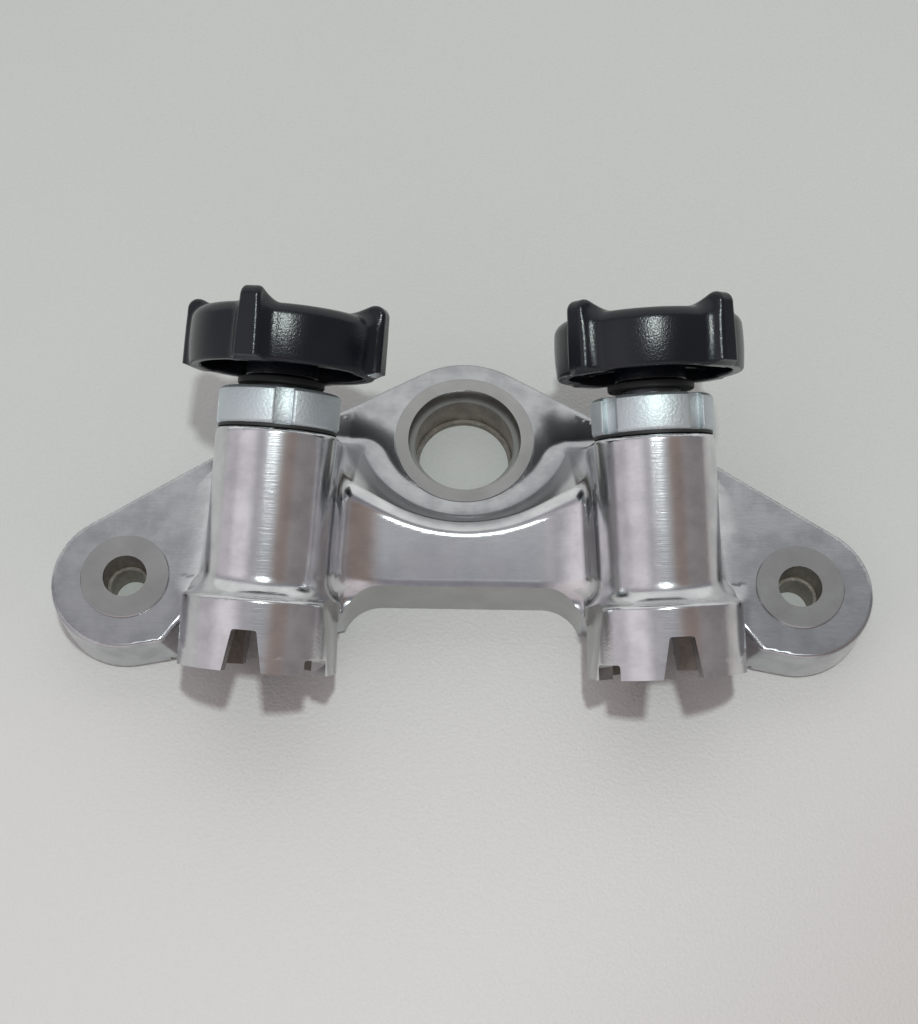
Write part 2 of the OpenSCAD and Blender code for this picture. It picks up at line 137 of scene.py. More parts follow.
def wing_plan(x, y):
    """A rounded lug: past its two tangent points the distance from its centre, elsewhere the
    larger distance square to the two tangents, less the radius in both cases."""
    u, v = x - LUG_AT[0], y - LUG_AT[1]
    rear, front = REAR[0] * u + REAR[1] * v, -FRONT[0] * u - FRONT[1] * v
    beyond = (-FRONT[0] * v + FRONT[1] * u >= 0) & (u * REAR[1] - v * REAR[0] >= 0)
    return np.where(beyond, np.hypot(u, v), np.maximum(rear, front)) - LUG_RADIUS


def wing_rear(x, y):
    """The lug with its rear corner taken off along a line."""
    line = LINK[0] * (x - LINK_AT[0]) + LINK[1] * (y - LINK_AT[1])
    return np.maximum(wing_plan(x, y), line)


def middle_plan(x, y):
    """The rear edge: an arc round the stem and its two tangents."""
    arc = x * MIDDLE[1] - y * MIDDLE[0] <= 0
    return np.where(arc, np.hypot(x, y), MIDDLE[0] * x + MIDDLE[1] * y) - MIDDLE_RADIUS


print("half width of the plate:", LUG_AT[0] + LUG_RADIUS, "mm")

# %% [markdown]
# ## Plate and bridge
# The lugs stand a little above the middle floor and have a scoop at their front corner. Between
# the sockets a sloping bridge rises to the rear, and a round dish in front of the stem hollows
# it. Each could be a mesh of its own, but then the seams between them would show in the polish.

# %% The plate as a distance
FLOOR, LOW_TOP, TOP_RISE = 13.1, 12.4, 1.6
STOCK = -1.5
STEM_BOSS, FORK_BOSS = 17.2, 10.5
SCOOP_AT = np.array([70.0, -54.3, 14.0])
SCOOP = np.array([-0.817, -0.541, 0.202])


def plate(x, y, z):
    """Two lugs, each under a top that eases down to the middle and less a scoop between two
    slanted planes, together with the middle floor, which falls away round the stem boss."""
    wing_top = z - LOW_TOP - ease(TOP_RISE, np.clip((x - 29) / 15, 0, 1))
    wing = cut(np.maximum(wing_rear(x, y), 22 - x), wing_top, 0.8)
    u, v, w = x - SCOOP_AT[0], y - SCOOP_AT[1], z - SCOOP_AT[2]
    into = u * SCOOP[0] + v * SCOOP[1] + w * SCOOP[2]
    scoop = np.maximum(np.maximum(-into, into - 6), -10 - (u * 0.552 - v * 0.834))
    wing = cut(wing, -scoop, 0.9)
    floor = FLOOR + np.clip(0.55 - 0.11 * (np.hypot(x, y) - STEM_BOSS), -0.7, 0.55)
    middle = cut(np.maximum(np.maximum(middle_plan(x, y), x - 46), -45 - y), z - floor, 1.8)
    return np.maximum(np.minimum(wing, middle), STOCK - z)


# %% The bridge as a distance
SADDLE_AT = (-39.5, 14.4)
RISE_FROM, RISE_OVER, RISE = 17, 12.45, 3.2
DISH_AT, DISH_RADIUS = 4.9, 24.2


def bridge(x, y, z):
    """The height over a sloping plane, less a rise to each barrel that starts as a parabola and
    goes on as a straight line, and less a cone round a point behind the stem."""
    height = (z - SADDLE_AT[1]) * math.cos(TILT) - (y - SADDLE_AT[0]) * math.sin(TILT)
    w = np.maximum(x - RISE_FROM, 0) / RISE_OVER
    saddle = height - np.where(w < 1, RISE * w * w, RISE + 2 * RISE * (w - 1))
    saddle = cut(saddle * 0.97, -(y + 41.1), 3.0)
    cone = (np.hypot(x, y - DISH_AT) - DISH_RADIUS - (z - FLOOR)) * math.sqrt(0.5)
    return cut(np.maximum(saddle, x - 42), -cone, 2.6)


depth = -float(bridge(np.array(0.0), np.array(-36.0), np.array(10.0)).round(2))
print("10 mm up in the saddle the surface is", depth, "mm away")

# %% [markdown]
# ## The whole casting
# Barrels with a web below them run over the plate, and their mouths flare into skirts. What makes
# the part look cast is the order of the joins as much as their radii: bridge and barrel first,
# then the skirt, then the plate with a fillet that grows towards the outer side, and the outline
# last. One formula for all of it leaves no seam anywhere.

# %% The casting as one signed distance
BARREL_RADIUS, BARREL_END = 14, 54.6
SKIRT_RADIUS, SKIRT_END = 18.2, 16.2
EVERYWHERE = -99


def casting(p):
    """Bridge and barrel joined, then the skirt, then the plate, each with its own fillet, and
    last the rear outline and the rounded lower edge. Negative inside the metal."""
    x, y, z = np.abs(p[..., 0]), p[..., 1], p[..., 2]
    d = [x - MOUTH[0], y - MOUTH[1], z - MOUTH[2]]
    across, above, along = (d[0] * v[0] + d[1] * v[1] + d[2] * v[2] for v in (ACROSS, ABOVE, ALONG))
    radius, limit = np.hypot(across, above), np.minimum(wing_rear(x, y), middle_plan(x, y))
    barrel = np.hypot(across, np.maximum(above, 0)) - BARREL_RADIUS
    upper = join(bridge(x, y, z), np.maximum(barrel, 8 - along), 3.6)
    upper = cut(upper, along - BARREL_END, 1.3)
    skirt = np.maximum(cut(radius - SKIRT_RADIUS, along - SKIRT_END, 0.8), STOCK - along)
    socket = cut(join(upper, skirt, 5.2), np.where(y > -30, limit, EVERYWHERE), 1.0)
    outer = 5.0 + 3.4 * np.clip((along - 10) / 10, 0, 1) - 2.4 * np.clip((along - 32) / 20, 0, 1)
    fillet = (2.7 + (outer - 2.7) * np.clip(across / 6, 0, 1)) * np.clip(-limit / 5, 0.12, 1)
    whole = join(plate(x, y, z), socket, fillet)
    return cut(np.maximum(whole, np.where(y > -35, limit, EVERYWHERE)), -z, 1.4)


inside = float(casting(np.array([0.0, -36.0, 10.0])).round(2))
print("the same point in the whole casting:", inside, "mm")

# %% [markdown]
# ## From distance to mesh
# Blender needs faces. The distance is sampled on a grid, and where its sign changes along a grid
# edge, the four cells round that edge share a face. Each cell gets one corner, at the mean of its
# crossings. A remesh would round the form off in the same way, so a few steps along the gradient
# then put each corner exactly on the surface.

# %% Gradient, samples and crossings
SLAB = 12


def gradient(field, p, h=0.03):
    """Central differences of the distance along X, Y and Z."""
    e = np.eye(3) * h
    return np.stack([field(p + e[k]) - field(p - e[k]) for k in range(3)], -1) / (2 * h)


def samples(field, axes):
    """The field at every point of a grid, a few layers at a time to spare memory."""
    return np.concatenate([
        field(np.stack(np.meshgrid(axes[0][i:i + SLAB], *axes[1:], indexing="ij"), -1))
        .astype(np.float32) for i in range(0, len(axes[0]), SLAB)])


def crossings(values, k):
    """Grid edges along direction k with a change of sign: their start and both end values."""
    a, b = np.moveaxis(values, k, 0)[:-1], np.moveaxis(values, k, 0)[1:]
    index = np.argwhere((a < 0) != (b < 0))
    va, vb = a[tuple(index.T)], b[tuple(index.T)]
    place = np.empty_like(index)
    place[:, np.insert(np.delete(np.arange(3), k), 0, k)] = index
    sides = place[:, [(k + 1) % 3, (k + 2) % 3]]
    last = np.array(values.shape)[[(k + 1) % 3, (k + 2) % 3]] - 1
    keep = ((sides > 0) & (sides < last)).all(1)
    return place[keep], va[keep], vb[keep]


# %% Surface nets
def settle(field, corners, step):
    """Each corner moves along the slope by its distance over the squared slope, four times."""
    for _ in range(4):
        g = gradient(field, corners)
        move = field(corners) / np.maximum((g * g).sum(-1), 0.1)
        corners -= g * np.clip(move, -step, step)[:, None]
    return corners


def net(field, low, high, step):
    """Corners and outward quads of the zero surface inside a box."""
    values = samples(field, [np.arange(a, b + step, step) for a, b in zip(low, high)])
    cells = np.array(values.shape) - 1
    sums, counts = np.zeros((np.prod(cells), 3)), np.zeros(np.prod(cells))
    quads = []
    for k in range(3):
        place, va, vb = crossings(values, k)
        point = place.astype(float)
        point[:, k] += va / (va - vb)
        ring = []
        for du, dv in ((-1, -1), (0, -1), (0, 0), (-1, 0)):
            cell = place.copy()
            cell[:, (k + 1) % 3] += du
            cell[:, (k + 2) % 3] += dv
            ring.append(np.ravel_multi_index(cell.T, cells))
            for c in range(3):
                sums[:, c] += np.bincount(ring[-1], point[:, c], len(counts))
            counts += np.bincount(ring[-1], minlength=len(counts))
        ring = np.stack(ring, 1)
        quads.append(np.where((va < 0)[:, None], ring, ring[:, ::-1]))
    used, quads = np.unique(np.concatenate(quads), return_inverse=True)
    corners = np.array(low) + step * sums[used] / counts[used, None]
    return settle(field, corners, step), quads.reshape(-1, 4)


# %% The casting as a mesh
MILLIMETRE = 0.001
STEP = 0.62


def make_mesh(name, corners, faces):
    """A mesh object at the origin; corners in millimetres, faces as lists of corner numbers."""
    mesh = bpy.data.meshes.new(name)
    mesh.from_pydata((np.asarray(corners) * MILLIMETRE).tolist(), [],
                     faces.tolist() if isinstance(faces, np.ndarray) else faces)
    mesh.update()
    made = bpy.data.objects.new(name, mesh)
    bpy.context.scene.collection.objects.link(made)
    return made


corners, quads = net(casting, (-99, -75, STOCK), (99, 25, 56), STEP)
cast = make_mesh("cast_body", corners, quads)
print("casting:", len(corners), "corners,", len(quads), "faces")

# %% [markdown]
# ## Machining
# The foundry leaves stock where a surface has to be true. The bores, slots, bosses and flat faces
# could be part of the distance formula too, but a net rounds a sharp edge off. So they are cut
# with plain prisms and turned shapes, as a mill and a lathe would cut them, and stay crisp.

# %% Turned and straight tools
ROUND = 128


def turned(profile, matrix=np.eye(3), origin=(0, 0, 0)):
    """Each (radius, height) pair goes once round the third direction of matrix; the first and
    the last pair lie on the axis and close the solid."""
    turn = np.arange(ROUND) * 2 * math.pi / ROUND
    rings = np.array(profile[1:-1], float)
    body = np.stack([np.outer(rings[:, 0], np.cos(turn)), np.outer(rings[:, 0], np.sin(turn)),
                     np.repeat(rings[:, 1:], ROUND, 1)], -1).reshape(-1, 3)
    ends = [[0, 0, profile[0][1]], [0, 0, profile[-1][1]]]
    points = np.concatenate([body, ends]) @ np.asarray(matrix).T + np.asarray(origin)
    here = np.arange(ROUND)
    after = (here + 1) % ROUND
    row = np.arange(len(rings) - 1)[:, None] * ROUND
    wall = np.stack([row + here, row + after, row + ROUND + after, row + ROUND + here], -1)
    top = (len(rings) - 1) * ROUND
    caps = [np.stack([np.full(ROUND, len(body)), after, here], 1),
            np.stack([np.full(ROUND, len(body) + 1), top + here, top + after], 1)]
    return points, wall.reshape(-1, 4).tolist() + np.concatenate(caps).tolist()


def prism(outline, bottom, top, matrix=np.eye(3), origin=(0, 0, 0)):
    """An outline in the first two directions of matrix, carried straight along the third."""
    outline = np.asarray(outline, float)
    n = len(outline)
    points = np.concatenate([np.column_stack([outline, np.full(n, h)]) for h in (bottom, top)])
    faces = [list(range(n))[::-1], list(range(n, 2 * n))]
    faces += [[j, (j + 1) % n, n + (j + 1) % n, n + j] for j in range(n)]
    return points @ np.asarray(matrix).T + np.asarray(origin), faces


def arc(cx, cy, r, start, stop, steps):
    """Points on a circle from one angle to another."""
    a = np.radians(np.linspace(start, stop, steps + 1))
    return np.column_stack([cx + r * np.cos(a), cy + r * np.sin(a)]).tolist()


def outward(points, faces):
    """Turns all faces round where a mirrored matrix has left them inside out: the volume, added
    up over fans of triangles seen from the origin, is then negative."""
    fans = np.array([(f[0], f[i], f[i + 1]) for f in faces for i in range(1, len(f) - 1)])
    a, b, c = (points[fans[:, k]] for k in range(3))
    return (points, faces) if (a * np.cross(b, c)).sum() > 0 else (points, [f[::-1] for f in faces])


def solid(name, *shapes):
    """One mesh object from several closed shapes that don't touch each other."""
    points, faces, start = [], [], 0
    for shape in shapes:
        p, f = outward(*shape)
        points.append(p)
        faces += [[i + start for i in face] for face in f]
        start += len(p)
    return make_mesh(name, np.concatenate(points), faces)


print("a turned tool has", ROUND, "sides")

# %% Slots of the skirts
SLOTS = ((3.4, 9.0, 5.8, 9.3), (-53.5, 7.0, 7.0, 3.45), (180.0, 10.4, 10.4, 9.3))
SLOT_CORNER = 0.7


def slot_prism(side, turn, mouth_width, end_width, depth):
    """A slot cut radially from the mouth: a trapezium with rounded inner corners. The turn
    counts from the top towards the outer side."""
    basis, origin = socket_matrix(side)
    s, c = slopes(turn)
    radial, tangent = basis[:, 0] * s + basis[:, 1] * c, basis[:, 0] * c - basis[:, 1] * s
    m, e, r = mouth_width / 2, end_width / 2, SLOT_CORNER
    slope = (m - e) / depth
    outline = ([[-m - slope * 2, -2], [m + slope * 2, -2]]
               + arc(e - r, depth - r, r, 0, 90, 5) + arc(-e + r, depth - r, r, 90, 180, 5))
    return prism(outline, 7, 26, np.stack([tangent, basis[:, 2], radial], 1), origin)


print("slots in each skirt:", len(SLOTS))

# %% All cutters and the bosses
FORK_AT = [(s * 80, -38.1, 0) for s in SIDE.values()]
NOTCH_HALF, NOTCH_CORNER, NOTCH_AT = 28.75, 9.5, -49.0
FLAT_AT, FLAT_LEAN = 29.55, slopes(6)
SOCKET_BORE = [(0, -3), (14.0, -3), (14.0, 13), (10.6, 13), (10.6, 45.6), (11.45, 45.6),
               (11.45, 62), (0, 62)]
STEM_BORE = [(0, -6), (11.3, -6), (11.3, 1.5), (12.2, 1.5), (12.2, 10.7), (13.9, 13.9),
             (15.4, 16.7), (0, 16.7)]
FORK_BORE = [(0, -6), (4.4, -6), (4.4, 7.5), (5.2, 7.5), (5.2, 20), (0, 20)]
notch = (arc(NOTCH_HALF - NOTCH_CORNER, NOTCH_AT, NOTCH_CORNER, 0, 90, 24)
         + arc(-NOTCH_HALF + NOTCH_CORNER, NOTCH_AT, NOTCH_CORNER, 90, 180, 24)
         + [[-NOTCH_HALF, -90], [NOTCH_HALF, -90]])
mouth = [[-23, -21.5], [23, -21.5], [23, 22], [-23, 22]]


def flat_prism(s):
    """The flat inner face of one skirt, which leans a little from upright."""
    lean = [[FLAT_LEAN[1] * s, 0, -FLAT_LEAN[0]], [0, 1, 0], [FLAT_LEAN[0] * s, 0, FLAT_LEAN[1]]]
    return prism([[-8, -90], [0, -90], [0, NOTCH_AT], [-8, NOTCH_AT]], -32, 32,
                 np.stack(lean, 1), (FLAT_AT * s, 0, MOUTH[2]))


def boss(radius, height):
    """Profile of a round boss with a narrow broken edge."""
    return [(0, 4), (radius, 4), (radius, height - 0.2), (radius - 0.2, height), (0, height)]


cutters = [
    solid("cut_slots", *[slot_prism(side, *values) for side in SIDE for values in SLOTS]),
    solid("cut_sockets", *[turned(SOCKET_BORE, *socket_matrix(side)) for side in SIDE]),
    solid("cut_mouths", *[prism(mouth, -6, 0, *socket_matrix(side)) for side in SIDE]),
    solid("cut_stem", turned(STEM_BORE)),
    solid("cut_forks", *[turned(FORK_BORE, origin=at) for at in FORK_AT]),
    solid("cut_notch", prism(notch, -8, 60)),
    solid("cut_flats", *[flat_prism(s) for s in SIDE.values()]),
]
bosses = solid("bosses", turned(boss(STEM_BOSS, 13.9)),
               *[turned(boss(FORK_BOSS, 14.5), origin=at) for at in FORK_AT])
print("cutters:", [c.name for c in cutters])

# %% Bosses on, stock off
def carve(target, operation, tool):
    """Adds one exact union or difference to the casting's list of modifiers."""
    modifier = target.modifiers.new(tool.name, "BOOLEAN")
    modifier.operation, modifier.solver, modifier.object = operation, "MANIFOLD", tool


def bake(target):
    """Puts the result of the modifiers into a mesh of its own."""
    graph = bpy.context.evaluated_depsgraph_get()
    mesh = bpy.data.meshes.new_from_object(target.evaluated_get(graph))
    target.modifiers.clear()
    target.data = mesh


carve(cast, "UNION", bosses)
for cutter in cutters:
    carve(cast, "DIFFERENCE", cutter)
bake(cast)
for tool in [bosses, *cutters]:
    bpy.data.objects.remove(tool)
cast.name = "casting"
print("machined casting:", len(cast.data.vertices), "corners,", len(cast.data.polygons), "faces")

# %% [markdown]
# ## Normals from the formula
# Polished metal shows every facet in its reflections. More faces would help, but at many times
# the weight. The cast faces therefore take their shading from the distance formula itself, and
# the machined faces stay as flat or as round as the tools have left them.

# %% Shading
SHARP, CAST_SHARP = math.radians(40), math.radians(32)


def read(items, key, width=1):
    """One property of all vertices, loops or faces as an array."""
    whole = key in ("loop_total", "vertex_index")
    values = np.empty(len(items) * width, dtype=np.int32 if whole else float)
    items.foreach_get(key, values)
    return values.reshape(-1, width) if width > 1 else values


def directions(field, points):
    """The gradient of the field, made one long."""
    slope = gradient(field, points)
    return slope / np.maximum(np.linalg.norm(slope, axis=1), 1e-6)[:, None]


def soften(mesh, angle):
    """Smooth shading with sharp edges past an angle."""
    mesh.polygons.foreach_set("use_smooth", np.ones(len(mesh.polygons), bool))
    mesh.set_sharp_from_angle(angle=angle)


def shade(made, field):
    """Where a face lies on the field and looks along its gradient, its corners take the field's
    own direction as their normal. Elsewhere they keep Blender's."""
    mesh = made.data
    soften(mesh, CAST_SHARP)
    points = read(mesh.vertices, "co", 3) / MILLIMETRE
    off = np.abs(field(points)) > 0.05
    vertex, total = read(mesh.loops, "vertex_index"), read(mesh.polygons, "loop_total")
    face = np.repeat(np.arange(len(total)), total)
    bad = np.bincount(face, off[vertex], len(total)) > 0
    centre, normal = read(mesh.polygons, "center", 3) / MILLIMETRE, read(mesh.polygons, "normal", 3)
    along_field = (directions(field, centre) * normal).sum(1) > 0.8
    on_field = ~bad & along_field & (np.abs(field(centre)) < 0.3)
    chosen = np.where(on_field[face][:, None], directions(field, points)[vertex],
                      read(mesh.corner_normals, "vector", 3))
    mesh.normals_split_custom_set(chosen.tolist())
    return on_field, centre


cast_face, centre = shade(cast, casting)
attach(cast, "bridge")
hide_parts("clamp_body")
print("faces left as cast:", int(cast_face.sum()), "of", len(cast_face))

# %% [markdown]
# ## The hand knobs
# A moulded knob has one wall all over: a hollow cap with a hub, eight ribs and four finger wings.
# It could be a turned cap with four boxes joined on, but its wings meet the cap in wide fillets,
# so it uses the same formulas as the casting. Folding X and Y into one quarter turn makes all
# four wings from one.

# %% Knob distance, counted from the hub's face
CAP_RADIUS, CAP_TOP, RIM = 21.4, 14.7, 1.4
WING_REACH, WING_TOP, WING_FOOT = 24.2, 17.8, 2.4
HUB_RADIUS, HUB_TOP = 8.2, 12.5
POCKET_RADIUS, POCKET_TOP, RIB_FOOT = 18.8, 12.1, 4.2


def knob(p):
    """A bulged cap joined with a wing folded to four, less a pocket between hub and wall that
    is itself less eight ribs, together with the hub."""
    x, y, h = p[..., 0], p[..., 1], p[..., 2]
    radius = np.hypot(x, y)
    dome = CAP_TOP + 0.7 * (1 - (radius / 21.5) ** 2)
    bulge = CAP_RADIUS + 0.35 * (1 - ((h - 8) / 6) ** 2)
    cap = np.maximum(cut(radius - bulge, h - dome, 2.6), RIM - h)
    out, side = np.maximum(np.abs(x), np.abs(y)), np.minimum(np.abs(x), np.abs(y))
    fall = ease(3.1, np.clip((21.6 - out) / 6.5, 0, 1))
    crest = WING_TOP - fall - 0.5 * np.maximum(15.2 - out, 0)
    wing = cut(cut(out - WING_REACH, h - crest, 2.4), side - 2.8 + 0.03 * (h - 3), 1.1)
    wing = np.maximum(wing, WING_FOOT - h)
    outer = cut(join(cap, wing, 3.0), RIM - h, 1.1)
    eighth = math.pi / 4
    turn = np.mod(np.arctan2(y, x), eighth)
    rib = radius * np.sin(np.minimum(turn, eighth - turn)) - 0.8
    pocket = cut(cut(radius - POCKET_RADIUS, h - POCKET_TOP, 1.5), HUB_RADIUS - radius, 0.8)
    hollow = np.maximum(pocket, -np.maximum(rib, RIB_FOOT - h))
    hub = np.maximum(cut(radius - HUB_RADIUS, -h, 0.6), h - HUB_TOP)
    return np.minimum(cut(outer, -hollow, 0.5), hub)


KNOB_STEP = 0.42
knob_net = net(knob, (-25.5, -25.5, -0.8), (25.5, 25.5, 18.8), KNOB_STEP)
print("knob:", len(knob_net[0]), "corners")

# %% Both knobs in place
SEAT = {"left": 66.6, "right": 67.1}
TURN = {"left": -13, "right": 39}


def knob_matrix(side):
    """One wing points TURN degrees from the top of the socket towards +X."""
    basis, mouth = socket_matrix(side)
    s, c = slopes(TURN[side])
    first = basis[:, 0] * s * SIDE[side] + basis[:, 1] * c
    turn = np.stack([first, np.cross(basis[:, 2], first), basis[:, 2]], 1)
    return turn, mouth + basis[:, 2] * SEAT[side]


knobs = {}
for side in SIDE:
    turn, place = knob_matrix(side)
    made = make_mesh(side + "_hand_knob", knob_net[0] @ turn.T + place, knob_net[1])
    shade(made, lambda p: knob((p - place) @ turn))
    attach(made, side + "_knob_unit")
    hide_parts(side + "_knob")
    knobs[side] = made
print("knobs in place:", [k.name for k in knobs.values()])

# %% [markdown]
# ## Turned parts
# The ring nuts and washers come from a lathe. They could be turned anew from a profile, but their
# CAD form is right already. Only the edges get the hair-thin break that a file leaves, so that
# each edge catches the light.

# %% Edge breaks on turned parts
def broken_edges(node, width):
    """A merged copy of a CAD node with narrow rounded edges; it then stands for that node."""
    made = bpy.data.objects.new(node + "_turned", frame["nodes"][node].data.copy())
    bpy.context.scene.collection.objects.link(made)
    weld = made.modifiers.new("weld", "WELD")
    weld.merge_threshold = 0.00001
    edge = made.modifiers.new("edge", "BEVEL")
    edge.width, edge.segments, edge.limit_method = width, 2, "ANGLE"
    edge.angle_limit = math.radians(30)
    bake(made)
    soften(made.data, SHARP)
    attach(made, frame["nodes"][node]["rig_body"])
    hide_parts(node)
    return made


BREAKS = (("ring_nut", 0.00016, "zinc_steel"), ("thrust_washer", 0.00012, "black_washer"))
turned_parts = {}
for side in SIDE:
    for name, width, slot in BREAKS:
        made = broken_edges(side + "_" + name, width)
        turned_parts[side + "_" + name] = made
print("turned parts:", list(turned_parts))

# %% [markdown]
# ## Materials
# A finish could be a painted image, but that needs an unwrapped mesh and shows its seams. Here
# every finish is worked out from the place on the part, in millimetres, so it has none. A small
# class lets the sums of the shader be written as plain sums.

# %% Shader sums
class Wire:
    """A socket of a node tree that can be added, multiplied and so on."""

    def __init__(self, tree, socket):
        self.tree, self.socket = tree, socket

    def node(self, kind, output=0, settings=(), **inputs):
        """Adds any node; inputs go by name, with _ for a space, or by place, as _0 and _1."""
        made = self.tree.nodes.new(kind)
        for key, value in dict(settings).items():
            setattr(made, key, value)
        for key, value in inputs.items():
            slot = int(key[1:]) if key[1:].isdigit() else key.replace("_", " ")
            put(self.tree, made.inputs[slot], value)
        return Wire(self.tree, made.outputs[output])

    def sum(self, operation, a, b=0.0):
        """One Math node; a and b are numbers or wires."""
        return self.node("ShaderNodeMath", settings={"operation": operation}, _0=a, _1=b)

    def __add__(self, other): return self.sum("ADD", self, other)
    def __radd__(self, other): return self.sum("ADD", other, self)
    def __sub__(self, other): return self.sum("SUBTRACT", self, other)
    def __rsub__(self, other): return self.sum("SUBTRACT", other, self)
    def __mul__(self, other): return self.sum("MULTIPLY", self, other)
    def __rmul__(self, other): return self.sum("MULTIPLY", other, self)
    def __neg__(self): return self.sum("MULTIPLY", self, -1.0)
    def __abs__(self): return self.sum("ABSOLUTE", self)

    def ramp(self, start, end):
        """0 below start, 1 above end, smooth between."""
        return self.node("ShaderNodeMapRange", settings={"interpolation_type": "SMOOTHSTEP"},
                         Value=self, From_Min=start, From_Max=end)

    def noise(self, scale, detail=2.0, stretch=(1, 1, 1)):
        """Noise of about scale bumps per unit of length; stretch scales each direction."""
        placed = self.node("ShaderNodeVectorMath", settings={"operation": "MULTIPLY"},
                           _0=self, _1=stretch)
        return self.node("ShaderNodeTexNoise", Vector=placed, Scale=scale, Detail=detail,
                         Roughness=0.55)

    def part(self, k):
        """X, Y or Z of a vector."""
        return self.node("ShaderNodeSeparateXYZ", output=k, Vector=self)

    def blend(self, first, second):
        """A colour between two others: the first at 0, the second at 1."""
        return self.node("ShaderNodeMix", output=2, settings={"data_type": "RGBA"},
                         _0=self, _6=first, _7=second)


def put(tree, slot, value):
    """Links a wire to a socket, or sets the socket's own value."""
    if isinstance(value, Wire):
        tree.links.new(value.socket, slot)
    elif isinstance(value, tuple) and slot.type == "RGBA":
        slot.default_value = (*value, 1.0)
    else:
        slot.default_value = value


def material(name, paint, **constants):
    """A material: paint gets the place in millimetres and returns what varies over the surface;
    constants go on the shader's own sockets."""
    made = bpy.data.materials.new(name)
    made.use_nodes = True
    tree = made.node_tree
    shader = tree.nodes["Principled BSDF"]
    for key, value in constants.items():
        put(tree, shader.inputs[key.replace("_", " ")], value)
    here = Wire(tree, tree.nodes.new("ShaderNodeTexCoord").outputs["Object"])
    place = here.node("ShaderNodeVectorMath", settings={"operation": "SCALE"},
                      Vector=here, Scale=1 / MILLIMETRE)
    for key, value in paint(place).items():
        if key == "Height":
            height, strength, distance = value
            value = place.node("ShaderNodeBump", Height=height, Strength=strength,
                               Distance=distance)
            key = "Normal"
        put(tree, shader.inputs[key.replace("_", " ")], value)
    return made


print("shader sums ready")

# %% [markdown]
# ## Finishes
# The casting is polished and brighter on its crowns. Its low floors and its dish are darker, partly
# from a duller, cloudy satin finish and partly as painted shade. Machined faces are plainer and
# greyer, bores are darker, partly as painted shade inside them, and the plating is pale and
# slightly rough. One even value for each would look like a toy, so two or three noises move the
# colour, roughness and height of each finish a little.

# %% Finish of the casting
def polished(place):
    """Low floors and the dish are darker, partly from a duller satin finish and partly as painted
    shade; the barrels are a little rougher and with hairlines.
    """
    cloud, blotch = place.noise(0.05, 3.0), place.noise(0.16, 4.0)
    fine, hair = place.noise(1.3, 3.0), place.noise(1.0, 2.0, (0.12, 3.0, 1.2))
    x, y = place.part(0), place.part(1) - DISH_AT
    low = 1.0 - place.part(2).ramp(13.4, 16.5)
    barrel = abs(x).ramp(27.0, 33.0) * (1.0 - low)
    dish = (1.0 - low) * (1.0 - (x * x + y * y).ramp(860.0, 1040.0))
    rough = 0.09 + 0.08 * cloud + 0.06 * blotch + low * 0.04 + barrel * 0.04
    # 0.4 * low and 0.8 * dish darken the colour: partly a duller satin finish, partly painted
    # shade.
    tone = 0.3 * cloud + 0.25 * blotch.ramp(0.35, 0.7) + 0.4 * low + 0.15 * hair + 0.8 * dish
    height = (0.15 + 0.95 * barrel) * hair + 0.35 * fine + blotch
    return {"Base Color": tone.blend((0.88, 0.88, 0.89), (0.36, 0.37, 0.39)),
            "Roughness": rough, "Height": (height, 0.15, 0.00012)}


def machined(place):
    """Plain grey with the faint, stretched grain of a cutter."""
    cloud, fine = place.noise(0.12, 3.0), place.noise(2.2, 2.0, (1.0, 1.0, 0.2))
    return {"Base Color": cloud.blend((0.52, 0.52, 0.51), (0.34, 0.33, 0.33)),
            "Roughness": 0.2 + 0.08 * fine, "Height": (fine, 0.04, 0.0001)}


def bored(place):
    """Darker and rougher, with rings of grain. The darker colour is partly painted shade inside
    the bores.
    """
    cloud, fine = place.noise(0.25, 4.0), place.noise(1.2, 3.0, (1.0, 1.0, 0.35))
    # The dark browns are partly painted shade inside the bores, partly a duller bored finish.
    return {"Base Color": (cloud + 0.3 * fine).blend((0.44, 0.40, 0.36), (0.17, 0.15, 0.13)),
            "Roughness": 0.36 + 0.2 * fine, "Height": (fine, 0.35, 0.0002)}


ALUMINIUM = material("polished aluminium", polished, Metallic=1.0)
MACHINED = material("machined aluminium", machined, Metallic=1.0)
BORE = material("bored aluminium", bored, Metallic=0.85)
print("finishes of the casting:", ALUMINIUM.name, MACHINED.name, BORE.name)

# %% Finishes of the fittings
def zinc(place):
    """Pale plating that shades into blue, with a fine grain."""
    cloud, fine = place.noise(0.09, 2.0), place.noise(1.5, 3.0)
    return {"Base Color": cloud.blend((0.80, 0.83, 0.83), (0.58, 0.67, 0.72)),
            "Roughness": 0.48 + 0.12 * fine, "Height": (fine + 0.5 * cloud, 0.6, 0.0002)}


def plastic(place):
    """Nearly black with a soft gloss and the grain of the mould."""
    cloud, fine = place.noise(0.1, 3.0), place.noise(2.5, 2.0)
    return {"Base Color": cloud.blend((0.003, 0.005, 0.008), (0.006, 0.009, 0.014)),
            "Roughness": 0.19 + 0.08 * cloud, "Height": (fine, 0.28, 0.0002)}


def rubber(place):
    """Dull black."""
    fine = place.noise(2.0, 3.0)
    return {"Base Color": fine.blend((0.010, 0.010, 0.010), (0.03, 0.03, 0.03)),
            "Roughness": 0.45 + 0.2 * fine, "Height": (fine, 0.2, 0.0001)}


def steel(place):
    """Dark turned steel; its dark colour is partly painted shade for the narrow gap at the knob."""
    cloud, fine = place.noise(0.2, 3.0), place.noise(1.4, 3.0, (1.0, 0.3, 1.0))
    # The dark colour is partly painted shade, for the shaded gap between each knob and its ring
    # nut.
    return {"Base Color": cloud.blend((0.20, 0.20, 0.21), (0.08, 0.08, 0.09)),
            "Roughness": 0.3 + 0.15 * fine, "Height": (fine, 0.2, 0.0001)}


